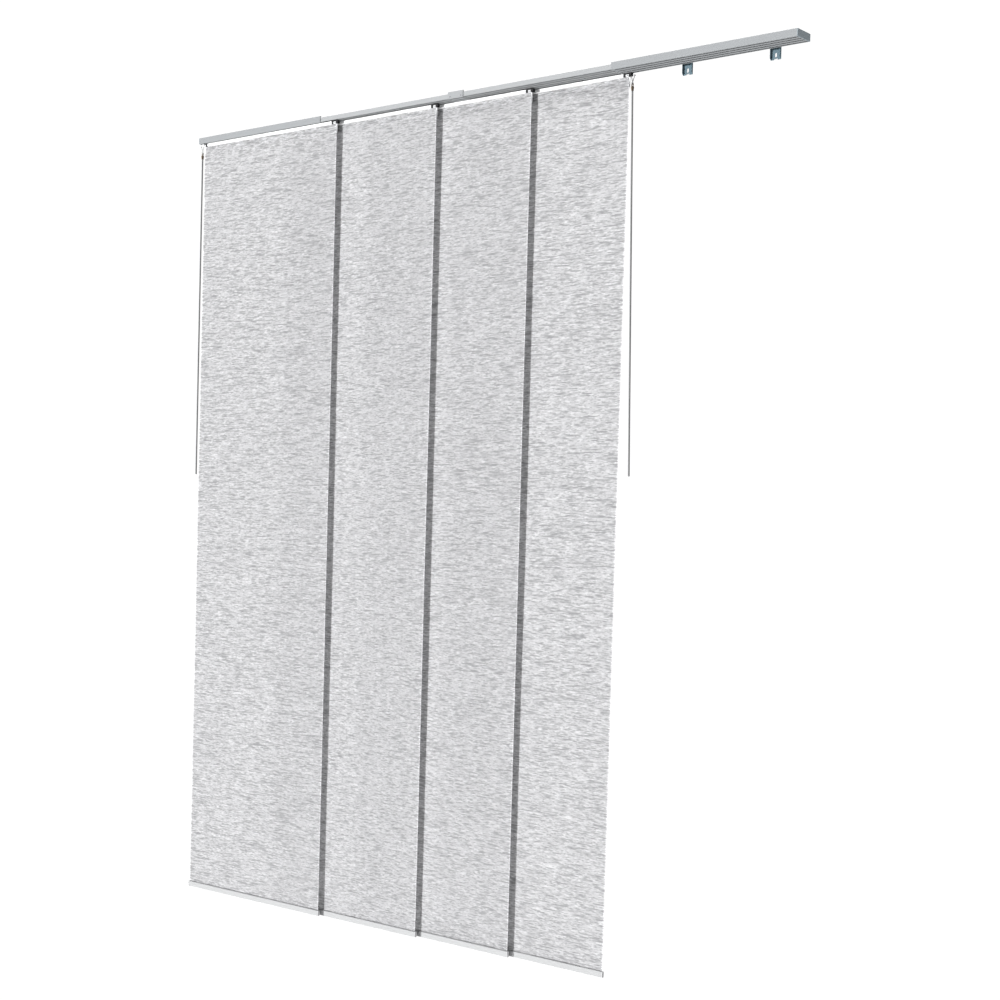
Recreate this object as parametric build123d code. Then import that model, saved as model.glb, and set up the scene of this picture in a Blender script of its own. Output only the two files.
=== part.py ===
from math import cos, radians, sin
from build123d import *
import os

# An extendable four-lane panel track blind, in millimetres.
# +X runs along the track, -Y points into the room and +Z points up.
# The origin is on the wall plane, at the middle of the left end bracket,
# level with the underside of the track.

# Track
lane_count = 4
lane_pitch = 15.2  # from one lane's middle to the next
track_wall = 1.2  # side walls and the webs between lanes
track_height = 19.0
lane_ceiling = 14.6  # underside of the web over the lanes
ceiling_wall = 1.2
slot_width = 5.2
slot_lip = 1.0  # thickness of the lips on both sides of a slot
top_lip_reach = 4.0  # lips that the clips grip, on top of the track
top_lip = 1.2
corner_radius = 1.5
travel_each_side = 510.0  # how far each side telescopes
closed_gap = 1.0  # left between outer rail and sleeve when fully closed
sleeve_length = 56.0
closing_gap = 1.0  # from inner channel to end cap when fully closed
insert_length = 32.5  # of each inner channel that stays in the outer rail when fully open

# Inner channels
channel_wall = 0.9
channel_clearance = 0.3  # all round, inside a lane
butt_gap = 0.5  # from the middle of the sleeve to each channel's end
sleeve_screw_inset = 8.0
sleeve_screw_height = 5.5
screw_hole_r = 1.5
screw_shank_r = 1.45
screw_head_r = 2.6
screw_head_height = 1.3
screw_tip_below_ceiling = 0.8

# End caps
cap_thickness = 2.5
tongue_length = 7.0
tongue_clearance = 0.25
tongue_wall = 2.2

# Wall brackets and the clips that hold the track
bracket_inset = 99.0  # from the end of the track to the middle of the end bracket
bracket_spacing = 259.0
bracket_width = 29.0
bracket_sheet = 1.5
bracket_drop = 27.0  # below the underside of the track
bracket_reach = 62.0  # of the leg over the track
flange_depth = 5.0
flange_sheet = 1.2
wall_gap = 8.0  # from the wall to the back of the track
bend_radius = 2.5
slot_w = 5.5
slot_top = -10.0
slot_bottom = -21.0
notch_w = 10.0
notch_h = 4.5
tooth_w = 3.0
tooth_h = 2.8
clip_sheet = 1.0
clip_length = 20.0
clip_side_gap = 0.4
clip_under_lip = 0.2
clip_overlap = 1.2  # how far the clip reaches past the lip before it rises
clip_screw_r = 1.95
clip_screw_hole_r = 2.2
clip_thread_r = 2.0
clip_head_r = 4.0
clip_head_height = 2.4
clip_screw_tip_gap = 0.6
recess_depth = 1.0
recess_width = 0.9
head_taper = 25  # degrees
head_sides = 16
screw_sides = 8

# Panels
panel_names = ("a", "b", "c", "d")
panel_width = 595.0
panel_rest = (20.4, 406.6, 741.4, 1058.0)  # left edges, from the left end of the track
panel_bottom = -2411.0  # underside of the bottom rails
fabric_thickness = 0.8
fabric_y = 0.8  # middle of the fabric, behind the middle of its lane

# Gliders
glider_end_inset = 26.0  # from each edge of the panel to the middle of its nearest glider
glider_inner_places = (203.0, 437.0)  # from the panel's left edge to the other two
glider_length = 16.0
glider_side_gap = 0.4
glider_floor_gap = 0.3
glider_head = 5.0
glider_bow = 3.6  # taken off each corner of the head
glider_stem = 3.6
glider_stem_length = 10.0
glider_foot_width = 6.2
glider_foot = 2.4

# Carrier bar
carrier_top = -1.6
carrier_depth = 9.0
carrier_box = 8.8  # height of the hollow box along its top
carrier_wall = 1.1
carrier_slot = 4.4
carrier_web = 2.0
carrier_height = 34.4
tape_thickness = 1.2
tape_margin = 0.8
fabric_top_gap = 0.5

# Carrier ends: from the bar outwards a plug, a black saddle, a white collar and a ball seat
end_length = 20.0  # inside the panel's edge
end_plug_length = 3.0
end_spine = 3.0
end_peg_length = 6.0
end_peg_height = 3.0
end_fit = 0.2
collar_length = 9.0
collar_top = -4.0
collar_hole_r = 2.2
saddle_top = -1.2
saddle_proud = 0.2
saddle_height = 9.4
saddle_fit = 0.2  # left above the collar
seat_length = 10.0  # outside the panel's edge
seat_x = 5.0  # from the panel's edge to the middle of the ball
seat_bottom = -9.0
seat_clearance = 0.15
seat_mouth_r = 3.9  # half across the flats, at the bottom
seat_throat_r = 2.15  # half across the flats, narrower than the ball
seat_throat = 1.3  # below the middle of the ball
seat_sides = 8
seat_slot = 2.8
seat_corner = 2.0
catch_length = 5.0
catch_height = 3.0
catch_gap = 0.6  # left to the carrier in the next lane

# Bottom rail
rail_height = 16.0
rail_depth = 8.0
rail_wall = 1.0
rail_slot = 1.6
rail_radius = 1.8
rail_overhang = 3.0  # past each side of the fabric, with its cap
bottom_cap = 2.0
bottom_plug = 8.0
bottom_plug_gap = 0.15
hem_bead = 4.4
hem_depth = 5.6  # from the top of the rail to the middle of the bead

# Wands
rod_r = 2.5
rod_bottom = -1063.0
ball_r = 2.4
ball_height = -5.2
free_ball_x = 17.0  # from the panel's edge
free_ball_height = -8.5
wand_x = 10.5  # from the panel's edge to the rod's axis
wand_lean = {"left": 0.0, "right": 1.5}  # degrees outwards, as they hang at rest
wire_r = 1.1
ring_sides = 6
hook_ring_r = 3.0
hook_ring_height = -28.6
eye_ring_r = 3.1
link_gap = 0.1
ferrule_length = 12.5
ferrule_neck_r = 2.6
ferrule_belly_r = 4.3
ferrule_belly = 3.2  # from the middle of the eye's wire down to the widest place
ferrule_foot_r = 3.2
rod_inset = 5.0
rod_fit = 0.05
rod_tip = 1.0

# Worked out from the sizes above
track_depth = lane_count * lane_pitch + track_wall
track_back = -wall_gap
track_front = track_back - track_depth
lane_width = lane_pitch - track_wall
groove_floor = lane_ceiling + ceiling_wall
inner_visible = travel_each_side + closed_gap
outer_length = travel_each_side + insert_length + closing_gap + tongue_length + cap_thickness
track_left = -bracket_inset
track_length = 2 * (outer_length + inner_visible) + sleeve_length
track_right = track_left + track_length
track_middle = (track_left + track_right) / 2
channel_width = lane_width - 2 * channel_clearance
channel_bottom = slot_lip + channel_clearance
channel_top = lane_ceiling - channel_clearance
channel_floor = channel_bottom + channel_wall
channel_reach = sleeve_length / 2 + inner_visible + insert_length
glider_width = channel_width - 2 * channel_wall - 2 * glider_side_gap
glider_bottom = channel_floor + glider_floor_gap
lip_underside = carrier_top - carrier_wall
carrier_box_bottom = carrier_top - carrier_box
carrier_bottom = carrier_top - carrier_height
carrier_length = panel_width - 2 * end_length
rail_top = panel_bottom + rail_height
fabric_top = carrier_box_bottom - fabric_top_gap
tape_front = fabric_y + fabric_thickness / 2
web_front = tape_front + tape_thickness
bracket_top = track_height + bracket_sheet
saddle_bottom = saddle_top - saddle_height
hook_link_height = hook_ring_height - hook_ring_r
eye_ring_height = hook_link_height + wire_r + link_gap + wire_r - eye_ring_r
ferrule_top = eye_ring_height - eye_ring_r
ferrule_bottom = ferrule_top - ferrule_length


def lane_middle(lane):
    """Y of a lane's middle. Lane 0 is nearest the room."""
    return track_front + track_wall / 2 + lane_pitch * (lane + 0.5)


def rect(y0, z0, y1, z1):
    """A rectangle on the YZ plane, from its lowest to its highest corner."""
    return Pos(y0, z0) * Rectangle(y1 - y0, z1 - z0, align=Align.MIN)


def along_x(section, x0, x1):
    """A section drawn in Y and Z, extruded from x0 to x1."""
    return Pos(x0, 0, 0) * extrude(Plane.YZ * section, x1 - x0)


def block(x0, y0, z0, x1, y1, z1):
    """A box between two corners."""
    return Pos(x0, y0, z0) * Box(x1 - x0, y1 - y0, z1 - z0, align=Align.MIN)


def upright(x, y, z0, z1, radius):
    """A cylinder that stands along Z."""
    return Pos(x, y, z0) * Cylinder(radius, z1 - z0, align=(Align.CENTER, Align.CENTER, Align.MIN))


def mirrored(shape, side):
    """The shape as drawn for the right side, or its mirror image for the left."""
    return shape if side > 0 else mirror(shape, Plane.YZ)


def screw(head_r, head_height, shank_r, length):
    """A screw with a low tapered head and a slot, pointing down from under its head."""
    head = extrude(RegularPolygon(head_r, head_sides), head_height, taper=head_taper)
    head -= Pos(0, 0, head_height) * Box(2 * head_r, recess_width, 2 * recess_depth)
    shank = extrude(RegularPolygon(shank_r, screw_sides), length)
    return head + Pos(0, 0, -length) * shank


def rounded_rect(y0, z0, y1, z1, radius):
    """A rectangle with four round corners."""
    size = RectangleRounded(y1 - y0, z1 - z0, radius)
    return Pos((y0 + y1) / 2, (z0 + z1) / 2) * size


def track_section():
    """The outer extrusion: four slotted lanes under a groove with two lips."""
    outline = rect(track_front, 0, track_back, track_height)
    lower = outline.vertices().group_by(Axis.Y)[0]
    outline = fillet(lower, corner_radius)
    section = outline
    for lane in range(lane_count):
        y = lane_middle(lane)
        section -= rect(y - lane_width / 2, slot_lip, y + lane_width / 2, lane_ceiling)
        section -= rect(y - slot_width / 2, -1, y + slot_width / 2, slot_lip + 1)
    inside = (track_front + track_wall, track_back - track_wall)
    section -= rect(inside[0], groove_floor, inside[1], track_height - top_lip)
    mouth = (inside[0] + top_lip_reach, inside[1] - top_lip_reach)
    section -= rect(mouth[0], groove_floor, mouth[1], track_height + 1)
    return section


def channel_section(lane):
    """A small C channel that runs inside one lane."""
    y = lane_middle(lane)
    half = channel_width / 2
    section = rect(y - half, channel_bottom, y + half, channel_top)
    hollow = half - channel_wall
    section -= rect(y - hollow, channel_floor, y + hollow, channel_top - channel_wall)
    section -= rect(y - slot_width / 2, 0, y + slot_width / 2, channel_floor + 1)
    return section


def screw_x(side):
    """X of the sleeve's screws on one side."""
    return track_middle + side * (sleeve_length / 2 - sleeve_screw_inset)


def front_hole(x, radius):
    """A hole along Y through the front wall of the first lane."""
    drill = Cylinder(radius, 2 * lane_width / 2)
    return Pos(x, track_front, sleeve_screw_height) * Rot(90, 0, 0) * drill


def channel_drill(x, lane):
    """The hole for the screw that holds a channel in the sleeve."""
    if lane == 0:
        return front_hole(x, screw_hole_r)
    return upright(x, lane_middle(lane), channel_top - 2, groove_floor + 2, screw_hole_r)


def inner_channel(side, lane):
    near = track_middle + side * butt_gap
    far = track_middle + side * channel_reach
    bar = along_x(channel_section(lane), min(near, far), max(near, far))
    return bar - channel_drill(screw_x(side), lane)


def splice_sleeve():
    half = sleeve_length / 2
    sleeve = along_x(track_section(), track_middle - half, track_middle + half)
    for side in (-1, 1):
        for lane in range(lane_count):
            sleeve -= channel_drill(screw_x(side), lane)
    return sleeve


def splice_screws():
    """Two screws in the front wall, and two over each lane behind it."""
    front_length = track_wall + channel_clearance + channel_wall
    top_length = groove_floor - channel_top + channel_wall + screw_tip_below_ceiling
    head = (screw_head_r, screw_head_height, screw_shank_r)
    front_screw = Rot(90, 0, 0) * screw(*head, front_length)
    top_screw = screw(*head, top_length)
    screws = []
    for side in (-1, 1):
        x = screw_x(side)
        screws.append(Pos(x, track_front, sleeve_screw_height) * front_screw)
        for lane in range(1, lane_count):
            screws.append(Pos(x, lane_middle(lane), groove_floor) * top_screw)
    return Compound(children=screws)


def end_cap(side):
    """A flat cap with a three-sided tongue in each lane."""
    outline = rect(track_front, 0, track_back, track_height)
    outline = fillet(outline.vertices(), corner_radius)
    cap = extrude(Plane.YZ * outline, cap_thickness)
    cap = chamfer(cap.faces().sort_by(Axis.X)[-1].edges(), 0.5)
    for lane in range(lane_count):
        y = lane_middle(lane)
        half = lane_width / 2 - tongue_clearance
        top = lane_ceiling - tongue_clearance
        floor = slot_lip + tongue_clearance
        tongue = rect(y - half, floor, y + half, top)
        hollow = half - tongue_wall
        tongue -= rect(y - hollow, 0, y + hollow, top - tongue_wall)
        cap += along_x(tongue, -tongue_length, 0)
    end = track_right if side > 0 else track_left
    return Pos(end - side * cap_thickness, 0, 0) * mirrored(cap, side)


def outer_rail(side):
    """An outer rail, which ends where its cap's plate starts."""
    closed = (track_right if side > 0 else track_left) - side * cap_thickness
    opened = (track_right if side > 0 else track_left) - side * outer_length
    return along_x(track_section(), min(closed, opened), max(closed, opened))


def bracket_x(number):
    """X of a bracket's middle, counted from the left."""
    from_end = bracket_spacing if number in (1, 2) else 0
    if number < 2:
        return track_left + bracket_inset + from_end
    return track_right - bracket_inset - from_end


def bracket(x):
    """A bent sheet: a leg over the track and a slotted plate down the wall."""
    profile = rect(-bracket_reach, track_height, 0, bracket_top)
    profile += rect(-bracket_sheet, -bracket_drop, 0, bracket_top)
    corner = profile.vertices().group_by(Axis.Y)[-1].sort_by(Axis.X)[-1]
    profile = fillet(corner, bend_radius)
    half = bracket_width / 2
    shape = along_x(profile, -half, half)
    for side in (-1, 1):
        outside = side * half
        inside = side * (half - flange_sheet)
        gusset = Polyline(
            (-bracket_sheet, -bracket_drop),
            (-bracket_sheet - flange_depth, -bracket_drop + flange_depth),
            (-bracket_sheet - flange_depth, track_height),
            (-bracket_sheet, track_height),
            close=True,
        )
        flange = make_face(gusset)
        shape += along_x(flange, min(outside, inside), max(outside, inside))
    slot = SlotOverall(slot_top - slot_bottom, slot_w, rotation=90)
    slot = Plane.XZ * (Pos(0, (slot_top + slot_bottom) / 2) * slot)
    shape -= extrude(slot, 2 * bracket_sheet, both=True)
    arch = Pos(0, -bracket_drop) * Ellipse(notch_w / 2, notch_h)
    tooth_top = -bracket_drop + notch_h
    tooth = Pos(0, tooth_top) * Rectangle(tooth_w, 2 * tooth_h)
    shape -= extrude(Plane.XZ * (arch - tooth), 2 * bracket_sheet, both=True)
    leg_y = (track_front + track_back) / 2
    shape -= upright(0, leg_y, track_height - 1, bracket_top + 1, clip_screw_hole_r)
    return Pos(x, 0, 0) * shape


def clip(x):
    """A spring clip whose two hooks sit under the lips on top of the track."""
    middle = (track_front + track_back) / 2
    outer = track_depth / 2 - track_wall - clip_side_gap
    rise = track_depth / 2 - track_wall - top_lip_reach - clip_overlap + clip_sheet
    hook_top = track_height - top_lip - clip_under_lip
    section = rect(middle - rise, track_height - clip_sheet, middle + rise, track_height)
    for side in (-1, 1):
        inner_side = middle + side * (rise - clip_sheet)
        outer_side = middle + side * outer
        riser_side = middle + side * rise
        low, high = sorted((inner_side, riser_side))
        section += rect(low, hook_top - clip_sheet, high, track_height)
        low, high = sorted((inner_side, outer_side))
        section += rect(low, hook_top - clip_sheet, high, hook_top)
    shape = along_x(section, x - clip_length / 2, x + clip_length / 2)
    return shape - upright(x, middle, track_height - 2, track_height + 1, clip_thread_r)


def clip_screw(x):
    """The screw through the bracket's leg into the clip."""
    middle = (track_front + track_back) / 2
    length = bracket_top - groove_floor - clip_screw_tip_gap
    return Pos(x, middle, bracket_top) * screw(clip_head_r, clip_head_height, clip_screw_r, length)


def carrier(y):
    """The bar that hangs from the gliders, centred on X = 0."""
    half = carrier_depth / 2
    section = rect(y - half, carrier_box_bottom, y + half, carrier_top)
    hollow = half - carrier_wall
    section -= rect(y - hollow, carrier_box_bottom + carrier_wall, y + hollow, lip_underside)
    section -= rect(y - carrier_slot / 2, lip_underside - 1, y + carrier_slot / 2, 0)
    web = (y + web_front, y + web_front + carrier_web)
    section += rect(web[0], carrier_bottom, web[1], carrier_box_bottom + carrier_wall)
    return along_x(section, -carrier_length / 2, carrier_length / 2)


def glider(y):
    """A T-shaped nylon glider with a head that is tapered at both ends like a boat."""
    head_top = glider_bottom + glider_head
    half = glider_length / 2
    half_y = glider_width / 2
    head = block(-half, y - half_y, glider_bottom, half, y + half_y, head_top)
    head = chamfer(head.edges().filter_by(Axis.Z), glider_bow, glider_bow * 0.7)
    head = chamfer(head.faces().sort_by(Axis.Z)[-1].edges(), 1)
    half_stem = glider_stem_length / 2
    stem_y = glider_stem / 2
    stem = block(-half_stem, y - stem_y, lip_underside, half_stem, y + stem_y, head_top - 1)
    foot_y = glider_foot_width / 2
    foot_bottom = lip_underside - glider_foot
    foot = block(-half_stem, y - foot_y, foot_bottom, half_stem, y + foot_y, lip_underside)
    return head + stem + foot


def gliders(y):
    """Four gliders, counted from the panel's left edge."""
    places = (glider_end_inset, *glider_inner_places, panel_width - glider_end_inset)
    one = glider(y)
    return Compound(children=[Pos(place - panel_width / 2, 0, 0) * one for place in places])


def eight_sided(x, y, z0, z1, low_r, high_r):
    """An upright plug with eight flats, whose width changes from its foot to its top."""
    low = Pos(x, y, z0) * RegularPolygon(low_r, seat_sides, major_radius=False)
    high = Pos(x, y, z1) * RegularPolygon(high_r, seat_sides, major_radius=False)
    return loft([low, high])


def ball_seat(y):
    """A block outside the panel's edge that holds a ball, with a mouth below and a side slot."""
    edge = panel_width / 2
    half = carrier_depth / 2 + saddle_proud
    seat = block(edge, y - half, seat_bottom, edge + seat_length, y + half, saddle_top)
    seat = chamfer(seat.edges().filter_by(Axis.Z).group_by(Axis.X)[-1], seat_corner)
    pocket_r = ball_r + seat_clearance
    x = edge + seat_x
    throat = ball_height - seat_throat
    seat -= eight_sided(x, y, throat, ball_height + pocket_r, pocket_r, pocket_r)
    seat -= eight_sided(x, y, seat_bottom, throat, seat_mouth_r, seat_throat_r)
    slot = seat_slot / 2
    far = edge + seat_length + 1
    return seat - block(x, y - slot, seat_bottom - 1, far, y + slot, ball_height)


def carrier_end(y, side):
    """A white moulded end. The one on the left also has the ball seat."""
    edge = panel_width / 2
    inner = edge - end_length
    half = carrier_depth / 2
    stop = inner + end_plug_length
    shape = block(inner, y - half, carrier_box_bottom, stop, y + half, carrier_top)
    peg_y = half - carrier_wall - end_fit
    peg_z = carrier_box_bottom + carrier_wall + end_fit
    peg_top = peg_z + end_peg_height
    shape += block(inner - end_peg_length, y - peg_y, peg_z, inner, y + peg_y, peg_top)
    web = (y + web_front, y + web_front + carrier_web)
    shape += block(inner, web[0], carrier_bottom, edge, web[1], carrier_box_bottom)
    spine = end_spine / 2
    shape += block(inner, y - spine, carrier_box_bottom, edge, y + spine, collar_top)
    collar = block(edge - collar_length, y - half, carrier_box_bottom, edge, y + half, collar_top)
    hole_z = (carrier_box_bottom + collar_top) / 2
    hole = Cylinder(collar_hole_r, 4 * half)
    shape += collar
    shape -= Pos(edge - collar_length / 2, y, hole_z) * Rot(90, 0, 0) * hole
    if side < 0:
        shape += ball_seat(y)
    return mirrored(shape, side)


def wand_socket(y, side, with_catch):
    """A black saddle over the end's spine and collar. The one on the right has the ball seat."""
    edge = panel_width / 2
    half = carrier_depth / 2 + saddle_proud
    start = edge - end_length + end_plug_length
    stop = edge - collar_length
    body = block(start, y - half, saddle_bottom, stop, y + half, saddle_top)
    body = chamfer(body.edges().filter_by(Axis.Y).group_by(Axis.Z)[0], 1.2)
    body += block(stop - 1, y - half, collar_top + saddle_fit, edge, y + half, saddle_top)
    spine = end_spine / 2
    body -= block(start - 1, y - spine, saddle_bottom - 1, stop + 1, y + spine, collar_top)
    web = y + web_front
    body -= block(start - 1, web, saddle_bottom - 1, edge + 1, y + half + 1, carrier_box_bottom)
    if side > 0:
        body += ball_seat(y)
    if with_catch:
        reach = y + lane_pitch - carrier_depth / 2 - saddle_proud - catch_gap
        top = saddle_top - 0.4
        low = top - catch_height
        catch = block(start + 1, y + spine + 1, low, start + 1 + catch_length, reach, top)
        body += chamfer(catch.edges().filter_by(Axis.X).group_by(Axis.Y)[-1], 1)
    return mirrored(body, side)


def hook_tape(y):
    half = carrier_length / 2
    low = carrier_bottom + tape_margin
    high = carrier_box_bottom - tape_margin
    return block(-half, y + tape_front, low, half, y + web_front, high)


def fabric(y):
    """The flat panel, with a bead along its foot that the bottom rail holds."""
    half = fabric_thickness / 2
    bead = rail_top - hem_depth
    section = rect(y + fabric_y - half, bead, y + fabric_y + half, fabric_top)
    section += Pos(y + fabric_y, bead) * Circle(hem_bead / 2)
    return along_x(section, -panel_width / 2, panel_width / 2)


def rail_section(y):
    """A hollow bar with a slot for the fabric and a ledge under its bead."""
    middle = y + fabric_y
    half = rail_depth / 2
    section = rounded_rect(middle - half, panel_bottom, middle + half, rail_top, rail_radius)
    hollow = half - rail_wall
    ledge = rail_top - hem_depth - hem_bead / 2 - 0.3
    section -= rect(middle - hollow, panel_bottom + rail_wall, middle + hollow, ledge - rail_wall)
    section -= rect(middle - hollow, ledge, middle + hollow, rail_top - 1.6)
    return section - rect(middle - rail_slot / 2, ledge + 1, middle + rail_slot / 2, rail_top + 1)


def bottom_rail(y):
    half = panel_width / 2 + rail_overhang - bottom_cap
    return along_x(rail_section(y), -half, half)


def bottom_cap_piece(y, side):
    """A flat cap with a plug in the lower hollow of the bottom rail."""
    middle = y + fabric_y
    half = rail_depth / 2
    outline = rounded_rect(middle - half, panel_bottom, middle + half, rail_top, rail_radius)
    start = panel_width / 2 + rail_overhang - bottom_cap
    cap = along_x(outline, start, start + bottom_cap)
    plug_y = half - rail_wall - bottom_plug_gap
    ledge = rail_top - hem_depth - hem_bead / 2 - 0.3
    low = panel_bottom + rail_wall + bottom_plug_gap
    high = ledge - rail_wall - bottom_plug_gap
    plug = rect(middle - plug_y, low, middle + plug_y, high)
    return mirrored(cap + along_x(plug, start - bottom_plug, start), side)


def rod_between(start, end, radius):
    """A round bar between two points."""
    line = Edge.make_line(start, end)
    return sweep(Plane(start, z_dir=line % 0) * Circle(radius), path=line)


def ring(ring_r, sides):
    """A ring about the Z axis with a section of a few flat sides."""
    section = Pos(ring_r, 0) * RegularPolygon(wire_r, sides)
    return revolve(Plane.XZ * section, Axis.Z)


def ball():
    """A ball with narrow flat bands around it, as it leaves its mould."""
    half = [(ball_r * sin(radians(a)), ball_r * cos(radians(a))) for a in range(0, 181, 30)]
    return revolve(Plane.XZ * make_face(Polyline(*half, close=True)), Axis.Z)


def wand_hook(y, side):
    """A V-shaped clip: two arms that end in balls, over a ring that is turned edge on."""
    edge = panel_width / 2
    x = edge + wand_x
    shape = Pos(x, y, hook_ring_height) * Rot(0, 90, 0) * ring(hook_ring_r, ring_sides)
    foot = Vector(x, y, hook_ring_height + hook_ring_r)
    for ball_x, ball_z in ((seat_x, ball_height), (free_ball_x, free_ball_height)):
        end = Vector(edge + ball_x, y, ball_z)
        shape += rod_between(foot, end, wire_r)
        shape += Pos(*end) * ball()
    return mirrored(shape, side)


def wand_eye(y, side):
    """A ring that hangs on the hook, over a turned ferrule that holds the rod."""
    x = panel_width / 2 + wand_x
    shape = Pos(x, y, eye_ring_height) * Rot(90, 0, 0) * ring(eye_ring_r, ring_sides)
    outline = Polyline(
        (0, ferrule_top + 0.4),
        (ferrule_neck_r, ferrule_top + 0.4),
        (ferrule_belly_r, ferrule_top - ferrule_belly),
        (ferrule_foot_r, ferrule_bottom),
        (0, ferrule_bottom),
        close=True,
    )
    turned = revolve(Plane.XZ * make_face(outline), Axis.Z)
    bore = upright(0, 0, ferrule_bottom - 1, ferrule_bottom + rod_inset, rod_r + rod_fit)
    shape += Pos(x, y, 0) * (turned - bore)
    return mirrored(shape, side)


def wand_rod(y, side):
    x = panel_width / 2 + wand_x
    rod = upright(x, y, rod_bottom, ferrule_bottom + rod_inset, rod_r)
    rod = chamfer(rod.edges().sort_by(Axis.Z)[0], rod_tip)
    return mirrored(rod, side)


def panel_parts(name, lane):
    """Every piece of one panel, at its rest place along the track."""
    y = lane_middle(lane)
    at = Pos(panel_middle(lane), 0, 0)
    catches = lane < lane_count - 1
    sockets = [wand_socket(y, -1, False), wand_socket(y, 1, catches)]
    pieces = {
        "carrier": carrier(y),
        "gliders": gliders(y),
        "carrier_ends": Compound(children=[carrier_end(y, -1), carrier_end(y, 1)]),
        "wand_sockets": Compound(children=sockets),
        "hook_tape": hook_tape(y),
        "fabric": fabric(y),
        "bottom_rail": bottom_rail(y),
        "bottom_caps": Compound(children=[bottom_cap_piece(y, -1), bottom_cap_piece(y, 1)]),
    }
    return {f"{piece}_{name}": at * shape for piece, shape in pieces.items()}


def panel_middle(lane):
    return track_left + panel_rest[lane] + panel_width / 2


def wand_parts(name, lane, side):
    """One wand: its hook, and its eye and rod turned about the link to the angle they hang at."""
    y = lane_middle(lane)
    at = Pos(panel_middle(lane), 0, 0)
    link = Pos(panel_middle(lane) + side * (panel_width / 2 + wand_x), y, hook_link_height)
    leaning = link * Rot(0, -side * wand_lean[name], 0) * link.inverse()
    return {
        f"wand_hook_{name}": at * wand_hook(y, side),
        f"wand_eye_{name}": leaning * at * wand_eye(y, side),
        f"wand_rod_{name}": leaning * at * wand_rod(y, side),
    }


def all_parts():
    parts = {
        "track_outer_left": outer_rail(-1),
        "track_outer_right": outer_rail(1),
        "end_cap_left": end_cap(-1),
        "end_cap_right": end_cap(1),
        "splice_sleeve": splice_sleeve(),
        "splice_screws": splice_screws(),
    }
    for number in range(4):
        parts[f"bracket_{number + 1}"] = bracket(bracket_x(number))
    for name, numbers in (("left", (0, 1)), ("right", (2, 3))):
        places = [bracket_x(number) for number in numbers]
        parts[f"clips_{name}"] = Compound(children=[clip(x) for x in places])
        parts[f"clip_screws_{name}"] = Compound(children=[clip_screw(x) for x in places])
    for name, side in (("left", -1), ("right", 1)):
        for lane in range(lane_count):
            parts[f"inner_channel_{name}_{lane + 1}"] = inner_channel(side, lane)
    for lane, name in enumerate(panel_names):
        parts.update(panel_parts(name, lane))
    parts.update(wand_parts("left", 0, -1))
    parts.update(wand_parts("right", lane_count - 1, 1))
    return parts


os.makedirs("parts", exist_ok=True)
for node, shape in all_parts().items():
    export_step(shape, f"parts/{node}.step")

# How far each panel slides, until its end glider meets a cap's tongue
glider_stop = tongue_length + cap_thickness + 0.5 - (glider_end_inset - glider_length / 2)
for lane, name in enumerate(panel_names):
    left = glider_stop - panel_rest[lane]
    right = track_length - glider_stop - panel_width - panel_rest[lane]
    print(f"panel_{name} slides {left:.1f} to {right:.1f}, lane at y {lane_middle(lane):.2f}")
for name, lane, side in (("left", 0, -1), ("right", lane_count - 1, 1)):
    edge = panel_middle(lane) + side * panel_width / 2
    y = lane_middle(lane)
    print(f"wand {name}: ball at {edge + side * seat_x:.2f}, {y:.2f}, {ball_height:.2f}")
    print(f"wand {name}: link at {edge + side * wand_x:.2f}, {y:.2f}, {hook_link_height:.2f}")
print("brackets at", [round(bracket_x(number), 2) for number in range(4)])
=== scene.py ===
import math

import bpy
from mathutils import Matrix, Vector


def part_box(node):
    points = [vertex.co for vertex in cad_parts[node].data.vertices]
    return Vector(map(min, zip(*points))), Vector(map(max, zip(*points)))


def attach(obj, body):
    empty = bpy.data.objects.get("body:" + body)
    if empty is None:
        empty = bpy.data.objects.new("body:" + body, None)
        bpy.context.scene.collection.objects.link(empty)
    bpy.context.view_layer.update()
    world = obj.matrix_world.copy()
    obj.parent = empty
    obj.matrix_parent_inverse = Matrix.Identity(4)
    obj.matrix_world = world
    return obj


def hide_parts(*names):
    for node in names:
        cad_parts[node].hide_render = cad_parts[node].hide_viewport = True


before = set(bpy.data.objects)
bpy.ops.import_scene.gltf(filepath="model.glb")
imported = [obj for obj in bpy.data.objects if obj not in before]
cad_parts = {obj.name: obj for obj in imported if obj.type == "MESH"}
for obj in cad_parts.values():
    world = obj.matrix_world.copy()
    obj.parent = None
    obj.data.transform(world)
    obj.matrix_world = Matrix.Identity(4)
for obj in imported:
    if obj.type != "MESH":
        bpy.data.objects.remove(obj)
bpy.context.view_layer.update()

# Lengths are in metres, and angles in degrees.

CAMERA_PLACE = (4.171124, -3.710456, -1.200766)
CAMERA_YAW, CAMERA_PITCH, CAMERA_ROLL = 39.154, -2.321, 1.611
CAMERA_LENS, CAMERA_SENSOR = 60.938, 36  # mm
CAMERA_SHIFT_UP = 0.093758  # of the sensor's width
CAMERA_REACH = 60

PANELS = ("a", "b", "c", "d")
CLOTH_WIDTH = 0.595
CLOTH_FACES = (60, 240)  # across and down
TUCK = 0.0056  # how far the cloth goes down into the bottom rail
TAPE_GAP = 0.0005  # from the hook tape to the cloth in front of it
CORNER_CUT = (0.005, 0.026)  # across and down, at the cloth's top corners
CORNER_STRIP = 0.01  # of the width, at each side: the points that the corner's cut moves
WAVE_DEPTH = 0.0006
CURL_DEPTH = 0.0004
CURL_STRIP = 0.04  # of the width, at each side

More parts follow.
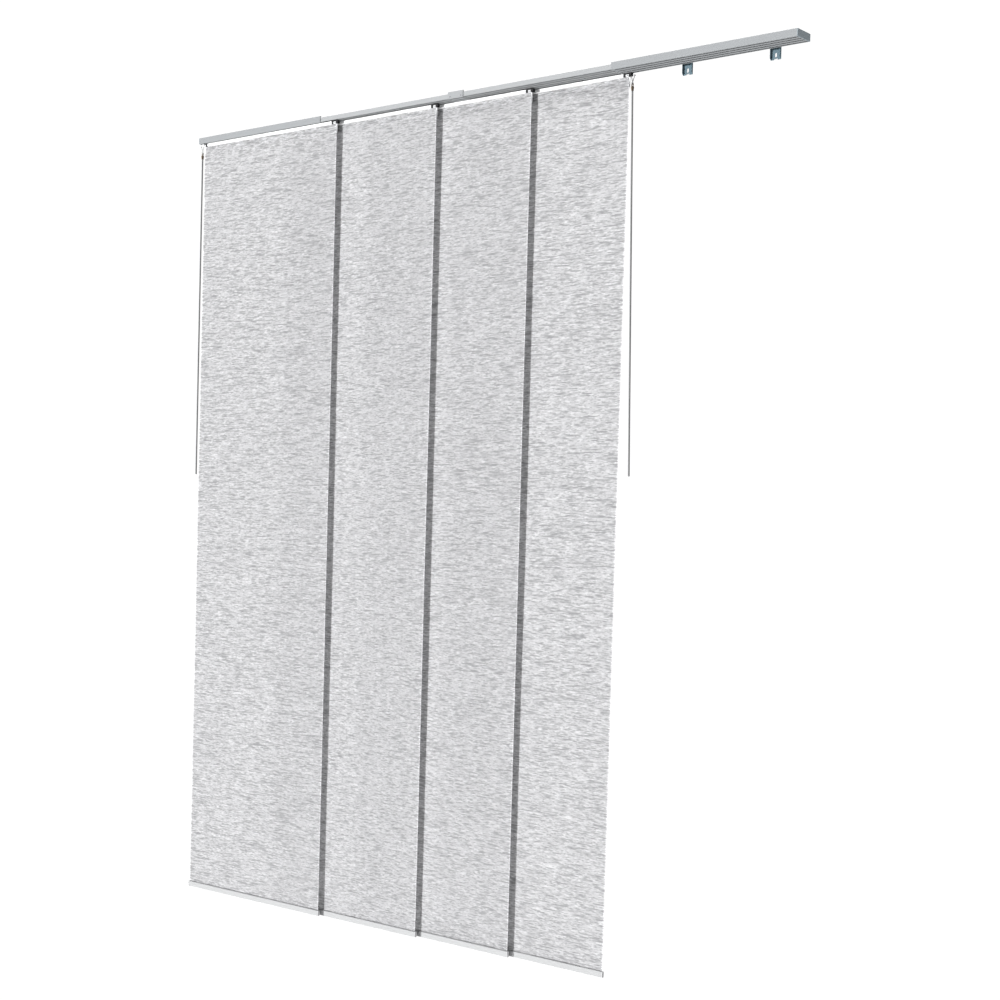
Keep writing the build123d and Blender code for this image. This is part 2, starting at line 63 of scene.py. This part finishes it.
ROW_STEP = 17.3  # in the noise, from one yarn to the next, so that they have nothing in common
LANE_SCALE = 90  # noise per metre across the lanes, so that each panel has its own dashes
PAINTED_RAIL_SHADOW = (0.0015, 0.0035)  # above the bottom rail: a painted shadow darkens the cloth where it comes out of the rail
PAINTED_EDGE_HIGHLIGHT = (0.494, 0.496)  # of the width, from the middle: where the painted highlight along each side edge starts
SHEER = 0.36  # the share of the cloth that lets light through
DASH = (0.5, 0.68)  # of the noise: no dash below the first, and a full one from the second

FLOOR_HEIGHT, FLOOR_SIZE = -2.62, 40
SEEN_WHITE = 1.05  # just over white, for the camera

# name: (strength, direction in which the light travels, how wide the source looks)
SUNS = {
    "key": (3.9, (0.61, 0.79, -0.03), 2),
    "ceiling": (1.4, (0.61, 0.79, -0.9), 25),
    "window": (0.75, (0.1, -1, -0.15), 60),
    "side": (1.1, (-1, 0.04, -0.1), 20),
    "floor_glow": (2.2, (0, 0.05, 1), 10),
}

MIX_FACTOR, MIX_A, MIX_B, MIX_RESULT = 0, 6, 7, 2  # the colour sockets of a Mix node


def camera_like_the_photograph():
    """One camera, level with the middle of the blind and to its right."""
    yaw, pitch, roll = (math.radians(a) for a in (CAMERA_YAW, CAMERA_PITCH, CAMERA_ROLL))
    forward = Vector(
        (-math.sin(yaw) * math.cos(pitch), math.cos(yaw) * math.cos(pitch), math.sin(pitch))
    )
    level = Vector((math.cos(yaw), math.sin(yaw), 0))
    over = level.cross(forward)
    right = math.cos(roll) * level + math.sin(roll) * over
    up = -math.sin(roll) * level + math.cos(roll) * over
    turn = Matrix((right, up, -forward)).transposed().to_4x4()
    data = bpy.data.cameras.new("camera")
    data.sensor_width = CAMERA_SENSOR
    data.lens = CAMERA_LENS
    data.shift_y = CAMERA_SHIFT_UP
    data.clip_end = CAMERA_REACH
    camera = bpy.data.objects.new("camera", data)
    camera.matrix_world = Matrix.Translation(CAMERA_PLACE) @ turn
    bpy.context.scene.collection.objects.link(camera)
    bpy.context.scene.camera = camera


class Tree:
    """The nodes of a material, a world or a group, with short ways to add and join them."""

    def __init__(self, data):
        self.nodes = data.nodes
        self.link = data.links.new

    def add(self, kind, **values):
        """A node with its settings and the values of its sockets."""
        node = self.nodes.new(kind)
        for key, value in values.items():
            if hasattr(node, key) and key not in node.inputs:
                setattr(node, key, value)
            else:
                node.inputs[key].default_value = value
        return node

    def put(self, value, socket):
        """Set a socket to a number, or join another node's output to it."""
        if isinstance(value, (int, float)):
            socket.default_value = value
        else:
            self.link(value, socket)

    def math(self, operation, *values):
        """Arithmetic on one or two values, each a number or another node's output."""
        node = self.add("ShaderNodeMath", operation=operation)
        for value, socket in zip(values, node.inputs):
            self.put(value, socket)
        return node.outputs[0]

    def swing(self, noise, amount):
        """A noise made to swing about zero."""
        return self.math("MULTIPLY", self.math("SUBTRACT", noise, 0.5), amount)

    def ranged(self, value, spread, onto=(0, 1)):
        """A value mapped from one range to another, and clamped."""
        node = self.add("ShaderNodeMapRange")
        for key, number in zip(("From Min", "From Max", "To Min", "To Max"), (*spread, *onto)):
            node.inputs[key].default_value = number
        self.link(value, node.inputs["Value"])
        return node.outputs["Result"]

    def shaded(self, color, factor):
        """A colour times a value."""
        node = self.add("ShaderNodeVectorMath", operation="SCALE")
        self.link(color, node.inputs[0])
        self.link(factor, node.inputs["Scale"])
        return node.outputs[0]

    def place(self, coordinates):
        """The X, Y and Z of the Object or the UV coordinates."""
        split = self.add("ShaderNodeSeparateXYZ")
        self.link(self.add("ShaderNodeTexCoord").outputs[coordinates], split.inputs[0])
        return split.outputs

    def noise(self, scale, detail, roughness=0.55):
        """Noise on Object coordinates, at a scale per metre for each axis."""
        place = self.add("ShaderNodeTexCoord")
        stretch = self.add("ShaderNodeMapping", Scale=scale)
        noise = self.add("ShaderNodeTexNoise", Scale=1.0, Detail=detail, Roughness=roughness)
        self.link(place.outputs["Object"], stretch.inputs["Vector"])
        self.link(stretch.outputs["Vector"], noise.inputs["Vector"])
        return noise.outputs["Fac"]

    def relief(self, height, strength, distance):
        """A normal from a height."""
        node = self.add("ShaderNodeBump", Distance=distance)
        self.put(strength, node.inputs["Strength"])
        self.link(height, node.inputs["Height"])
        return node.outputs["Normal"]


def group(name, inputs, outputs):
    """A shader node group, with the sockets that it is given and those that it puts out."""
    data = bpy.data.node_groups.new(name, "ShaderNodeTree")
    for title, value in inputs.items():
        kind = "NodeSocketColor" if isinstance(value, tuple) else "NodeSocketFloat"
        socket = data.interface.new_socket(title, in_out="INPUT", socket_type=kind)
        socket.default_value = value
    kinds = {"Color": "NodeSocketColor", "Normal": "NodeSocketVector"}
    for title in outputs:
        kind = kinds.get(title, "NodeSocketFloat")
        data.interface.new_socket(title, in_out="OUTPUT", socket_type=kind)
    tree = Tree(data)
    return data, tree, tree.add("NodeGroupInput").outputs, tree.add("NodeGroupOutput").inputs


def uneven(tree, given, out, swing):
    """Let a group's colour and roughness follow a swing about zero, the colour twice as far."""
    tone = tree.math("ADD", tree.math("MULTIPLY", swing, 2.0), 1.0)
    tree.link(tree.shaded(given["Color"], tone), out["Color"])
    tree.link(tree.math("ADD", given["Roughness"], swing), out["Roughness"])


def drawn_metal_group():
    """Long lines left by the die along X, with faint clouds of handling marks."""
    inputs = {
        "Color": (0.8, 0.8, 0.8, 1),
        "Lines": 0.03,
        "Clouds": 0.04,
        "Roughness": 0.4,
        "Depth": 0.04,
    }
    data, tree, given, out = group("drawn_metal", inputs, ("Color", "Roughness", "Normal"))
    lines = tree.noise(scale=(1.2, 900, 900), detail=4.0, roughness=0.7)
    clouds = tree.noise(scale=(9, 60, 60), detail=4.0)
    lined = tree.swing(lines, given["Lines"])
    cloudy = tree.swing(clouds, given["Clouds"])
    uneven(tree, given, out, tree.math("ADD", lined, cloudy))
    tree.link(tree.relief(lines, given["Depth"], distance=0.0002), out["Normal"])
    return data


def plated_steel_group():
    """Zinc plate: a fine mottle, with short rolling marks."""
    inputs = {"Color": (0.6, 0.6, 0.6, 1), "Mottle": 0.2, "Roughness": 0.35}
    data, tree, given, out = group("plated_steel", inputs, ("Color", "Roughness", "Normal"))
    mottle = tree.noise(scale=(260, 260, 260), detail=5.0, roughness=0.6)
    marks = tree.noise(scale=(1500, 1500, 120), detail=2.0)
    uneven(tree, given, out, tree.swing(mottle, given["Mottle"]))
    tree.link(tree.relief(marks, strength=0.12, distance=0.0003), out["Normal"])
    return data


def moulded_skin_group():
    """Moulded plastic: a fine spark-eroded skin with slow flow lines in its colour."""
    inputs = {"Color": (0.8, 0.8, 0.8, 1), "Flow": 0.04, "Roughness": 0.35, "Skin": 0.08}
    data, tree, given, out = group("moulded_skin", inputs, ("Color", "Roughness", "Normal"))
    flow = tree.noise(scale=(30, 120, 45), detail=3.0)
    skin = tree.noise(scale=(1800, 1800, 1800), detail=2.0)
    uneven(tree, given, out, tree.swing(flow, given["Flow"]))
    tree.link(tree.relief(skin, given["Skin"], distance=0.0002), out["Normal"])
    return data


def yarn_rows(tree, rows, dashes):
    """Noise in rows, one for each yarn: every row has its own thick and thin places. There are
    so many rows to a metre of drop, and dashes to a metre of width."""
    place = tree.place("Object")
    row = tree.math("FLOOR", tree.math("MULTIPLY", place["Z"], rows))
    where = tree.add("ShaderNodeCombineXYZ")
    tree.link(tree.math("MULTIPLY", place["X"], dashes), where.inputs["X"])
    tree.link(tree.math("MULTIPLY", row, ROW_STEP), where.inputs["Y"])
    tree.link(tree.math("MULTIPLY", place["Y"], LANE_SCALE), where.inputs["Z"])
    noise = tree.add("ShaderNodeTexNoise", Scale=1.0, Detail=1.0, Roughness=0.5)
    tree.link(where.outputs[0], noise.inputs["Vector"])
    return noise.outputs["Fac"]


def slub_weave_group():
    """Cloth woven from uneven yarn: thin dark and light dashes that run across the panel."""
    inputs = {"Ground": (0.8, 0.8, 0.8, 1), "Yarn": (0.3, 0.3, 0.3, 1), "Amount": 0.6}
    data, tree, given, out = group("slub_weave", inputs, ("Color", "Height", "Slubs"))
    long_dash = tree.ranged(yarn_rows(tree, rows=340, dashes=30), DASH)
    short_dash = tree.ranged(yarn_rows(tree, rows=430, dashes=80), (0.48, DASH[1]), onto=(0, 0.75))
    light_dash = tree.ranged(yarn_rows(tree, rows=370, dashes=50), DASH, onto=(0.88, 1.14))
    yarns = tree.ranged(tree.noise(scale=(160, 300, 1600), detail=1.0), (0.35, 0.65))
    grain = tree.ranged(yarns, (0, 1), onto=(0.95, 1.05))
    slubs = tree.math("MULTIPLY", tree.math("MAXIMUM", long_dash, short_dash), given["Amount"])
    mix = tree.add("ShaderNodeMix", data_type="RGBA")
    tree.link(slubs, mix.inputs[MIX_FACTOR])
    tree.link(given["Ground"], mix.inputs[MIX_A])
    tree.link(given["Yarn"], mix.inputs[MIX_B])
    tone = tree.math("MULTIPLY", light_dash, grain)
    tree.link(tree.shaded(mix.outputs[MIX_RESULT], tone), out["Color"])
    slub_height = tree.math("MULTIPLY", slubs, 0.6)
    yarn_height = tree.math("MULTIPLY", yarns, 0.4)
    tree.link(tree.math("ADD", slub_height, yarn_height), out["Height"])
    tree.link(slubs, out["Slubs"])
    return data


def new_material(name):
    """A material with its node tree and its main shader."""
    material = bpy.data.materials.new(name)
    material.use_nodes = True
    tree = Tree(material.node_tree)
    return material, tree, tree.nodes["Principled BSDF"]


def finish(name, effect, color, metallic=0.0, specular=0.3, **values):
    """A material from one of the groups, with its own values."""
    material, tree, shader = new_material(name)
    effect_node = tree.add("ShaderNodeGroup", node_tree=effect, Color=(*color, 1), **values)
    tree.link(effect_node.outputs["Color"], shader.inputs["Base Color"])
    tree.link(effect_node.outputs["Roughness"], shader.inputs["Roughness"])
    tree.link(effect_node.outputs["Normal"], shader.inputs["Normal"])
    shader.inputs["Metallic"].default_value = metallic
    shader.inputs["Specular IOR Level"].default_value = specular
    material.diffuse_color = (*color, 1)
    return material


def cloth_finish(name, weave):
    """Sheer cloth: it reflects part of the light and lets part of it through."""
    material, tree, shader = new_material(name)
    effect = tree.add(
        "ShaderNodeGroup",
        node_tree=weave,
        Ground=(0.72, 0.72, 0.733, 1),
        Yarn=(0.24, 0.24, 0.255, 1),
        Amount=0.52,
    )
    rail_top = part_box("bottom_rail_a")[1][2]
    # painted shadow: the cloth's colour is halved at the bottom rail and is full again a few mm
    # above it
    painted_rail_shadow_range = [rail_top + height for height in PAINTED_RAIL_SHADOW]
    painted_rail_shadow = tree.ranged(tree.place("Object")["Z"], painted_rail_shadow_range, onto=(0.5, 1))
    # painted highlight: the cloth's colour is made lighter along both side edges
    from_middle = tree.math("SUBTRACT", tree.place("UV")["X"], 0.5)
    painted_edge_highlight = tree.ranged(tree.math("ABSOLUTE", from_middle), PAINTED_EDGE_HIGHLIGHT, onto=(1, 1.3))
    color = tree.shaded(effect.outputs["Color"], tree.math("MULTIPLY", painted_rail_shadow, painted_edge_highlight))
    normal = tree.relief(effect.outputs["Height"], strength=0.5, distance=0.0006)
    tree.link(color, shader.inputs["Base Color"])
    tree.link(normal, shader.inputs["Normal"])
    shader.inputs["Roughness"].default_value = 0.85
    shader.inputs["Specular IOR Level"].default_value = 0.2
    shader.inputs["Sheen Weight"].default_value = 0.1
    through = tree.add("ShaderNodeBsdfTranslucent")
    between_slubs = tree.ranged(effect.outputs["Slubs"], (0, 0.5), onto=(1, 0.15))
    tree.link(tree.shaded(color, between_slubs), through.inputs["Color"])
    both = tree.add("ShaderNodeMixShader", Fac=SHEER)
    tree.link(shader.outputs["BSDF"], both.inputs[1])
    tree.link(through.outputs["BSDF"], both.inputs[2])
    tree.link(both.outputs["Shader"], tree.nodes["Material Output"].inputs["Surface"])
    material.diffuse_color = (0.66, 0.66, 0.67, 1)
    return material


def paint(node, material):
    """Give a CAD node its finish."""
    piece = bpy.data.objects[node]
    if not piece.material_slots:
        piece.data.materials.append(material)
    for place in piece.material_slots:
        place.material = material


def set_back(u, v, phase):
    """How far back the cloth lies, u across and v up: slow waves, and sides that curl a little."""
    free = math.sin(math.pi * v) ** 0.5  # none at the top and the foot, where it is held flat
    half_waves_across, half_waves_up = 2.1, 3
    wave_across = math.sin(half_waves_across * math.pi * u + 1.7 * phase)
    wave = wave_across * math.sin(half_waves_up * math.pi * v + phase)
    curl = max(0, abs(u - 0.5) - (0.5 - CURL_STRIP)) / CURL_STRIP
    return WAVE_DEPTH * free * (1 + wave) + CURL_DEPTH * free * curl**2


def cloth_panel(letter, material):
    """One flat panel, hung from its carrier and held in the bottom rail."""
    low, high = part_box(f"fabric_{letter}")
    tape_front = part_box(f"hook_tape_{letter}")[0][1]
    rail_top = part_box(f"bottom_rail_{letter}")[1][2]
    foot = rail_top - TUCK
    length = high[2] - foot
    middle = (low[0] + high[0]) / 2
    phase = PANELS.index(letter)  # no two panels wave alike
    across, down = CLOTH_FACES
    bpy.ops.mesh.primitive_grid_add(x_subdivisions=across, y_subdivisions=down, size=1)
    sheet = bpy.context.object
    sheet.name = f"cloth_{letter}"
    for vertex in sheet.data.vertices:
        u, v = vertex.co.x + 0.5, vertex.co.y + 0.5
        x = middle + (u - 0.5) * CLOTH_WIDTH
        y = tape_front - TAPE_GAP + set_back(u, v, phase)
        vertex.co = (x, y, foot + v * length)
        below_top = (1 - v) * length
        if below_top < CORNER_CUT[1] and abs(u - 0.5) > 0.5 - CORNER_STRIP:
            side = 1 if u > 0.5 else -1
            vertex.co.x -= side * CORNER_CUT[0] * (1 - below_top / CORNER_CUT[1])
    sheet.data.materials.append(material)
    for face in sheet.data.polygons:
        face.use_smooth = True
    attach(sheet, f"panel_{letter}")
    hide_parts(f"fabric_{letter}")


def white_to_the_camera(tree, light, target):
    """The backdrop and the floor are seen white, and light the blind less than they look."""
    seen = tree.add("ShaderNodeEmission", Strength=SEEN_WHITE)
    path = tree.add("ShaderNodeLightPath")
    mix = tree.add("ShaderNodeMixShader")
    tree.link(path.outputs["Is Camera Ray"], mix.inputs["Fac"])
    tree.link(light, mix.inputs[1])
    tree.link(seen.outputs[0], mix.inputs[2])
    tree.link(mix.outputs[0], target)


def pale_floor():
    """A floor that glows a little, and lets the light from under it pass."""
    bpy.ops.mesh.primitive_plane_add(size=FLOOR_SIZE, location=(0, 0, FLOOR_HEIGHT))
    floor = bpy.context.object
    floor.name = "floor"
    floor.visible_shadow = False
    material, tree, shader = new_material("pale_floor")
    shader.inputs["Base Color"].default_value = (0.9, 0.9, 0.9, 1)
    shader.inputs["Roughness"].default_value = 0.9
    shader.inputs["Emission Color"].default_value = (1, 1, 1, 1)
    shader.inputs["Emission Strength"].default_value = 0.1
    surface = tree.nodes["Material Output"].inputs["Surface"]
    white_to_the_camera(tree, shader.outputs["BSDF"], surface)
    floor.data.materials.append(material)


def sun(name, strength, direction, width):
    """A distant light that shines along a direction."""
    data = bpy.data.lights.new(name, "SUN")
    data.energy = strength
    data.angle = math.radians(width)
    light = bpy.data.objects.new(name, data)
    light.rotation_euler = Vector(direction).to_track_quat("-Z", "Y").to_euler()
    bpy.context.scene.collection.objects.link(light)


def studio_light():
    """A white room, a hard key light low on the left, and soft ones from above, from behind,
    from the right and from under the floor."""
    world = bpy.data.worlds.new("white_room")
    bpy.context.scene.world = world
    world.use_nodes = True
    tree = Tree(world.node_tree)
    room = tree.nodes["Background"]
    room.inputs["Color"].default_value = (0.97, 0.98, 1, 1)
    room.inputs["Strength"].default_value = 0.06
    white_to_the_camera(tree, room.outputs[0], tree.nodes["World Output"].inputs["Surface"])
    for name, (strength, direction, width) in SUNS.items():
        sun(name, strength, direction, width)


camera_like_the_photograph()

drawn = drawn_metal_group()
plated = plated_steel_group()
moulded = moulded_skin_group()
weave = slub_weave_group()

# A node takes the finish with the longest name that its own name starts with.
FINISHES = {
    "track_outer": finish(
        "silver_anodised", drawn, (0.303, 0.315, 0.325), metallic=0.04, specular=0.1, Roughness=0.6
    ),
    "splice_sleeve": finish(
        "silver_sleeve", drawn, (0.33, 0.341, 0.35), metallic=0.04, specular=0.1, Roughness=0.6
    ),
    "inner_channel": finish(
        "pale_anodised", drawn, (0.36, 0.37, 0.378), metallic=0.04, specular=0.1, Roughness=0.6
    ),
    "end_cap": finish("grey_cap", moulded, (0.262, 0.303, 0.33), Roughness=0.45),
    "bracket": finish(
        "zinc_plate", plated, (0.105, 0.16, 0.19), metallic=0.15, specular=0.15, Roughness=0.55
    ),
    "clips": finish(
        "spring_steel", plated, (0.62, 0.62, 0.62), metallic=0.9, Roughness=0.3, Mottle=0.1
    ),
    "clip_screws": finish("zinc_screw", plated, (0.55, 0.57, 0.6), metallic=0.9, Roughness=0.3),
    "splice_screws": finish("dark_screw", plated, (0.16, 0.16, 0.17), metallic=0.8, Roughness=0.4),
    "carrier": finish(
        "white_extrusion", drawn, (0.88, 0.88, 0.88), Roughness=0.35, Lines=0.01, Clouds=0.01
    ),
    "gliders": finish("black_nylon", moulded, (0.03, 0.03, 0.032), Roughness=0.5),
    "carrier_ends": finish("white_moulding", moulded, (0.80, 0.81, 0.82), Roughness=0.4),
    "wand_sockets": finish(
        "black_moulding", moulded, (0.012, 0.012, 0.014), specular=0.15, Roughness=0.55
    ),
    "hook_tape": finish("woven_tape", moulded, (0.78, 0.78, 0.78), Roughness=0.9, Skin=0.6),
    "bottom_rail": finish(
        "white_weight_bar",
        drawn,
        (0.455, 0.46, 0.465),
        specular=0.1,
        Roughness=0.5,
        Lines=0.02,
        Clouds=0.02,
    ),
    "bottom_caps": finish("white_cap", moulded, (0.56, 0.56, 0.57), specular=0.1, Roughness=0.5),
    # one hook in two copies: painted lighter on the left wand as if lit, painted darker on the
    # others as if shaded
    "wand_hook_left": finish("hook_painted_lit", moulded, (0.62, 0.63, 0.63), Roughness=0.3),
    "wand_hook": finish("hook_painted_shaded", moulded, (0.28, 0.28, 0.29), specular=0.2, Roughness=0.5),
    "wand_eye": finish(
        "aged_bronze", plated, (0.11, 0.08, 0.055), metallic=0.4, specular=0.2, Roughness=0.5
    ),
    "wand_rod": finish("grey_rod", moulded, (0.222, 0.222, 0.227), specular=0.2, Roughness=0.45),
}

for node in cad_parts:
    names = [name for name in FINISHES if node.startswith(name)]
    if names:  # the fabric nodes have none, since the cloths replace them
        paint(node, FINISHES[max(names, key=len)])

cloth = cloth_finish("slub_cloth", weave)
for letter in PANELS:
    cloth_panel(letter, cloth)

pale_floor()
studio_light()
bpy.context.scene.view_settings.view_transform = "Standard"
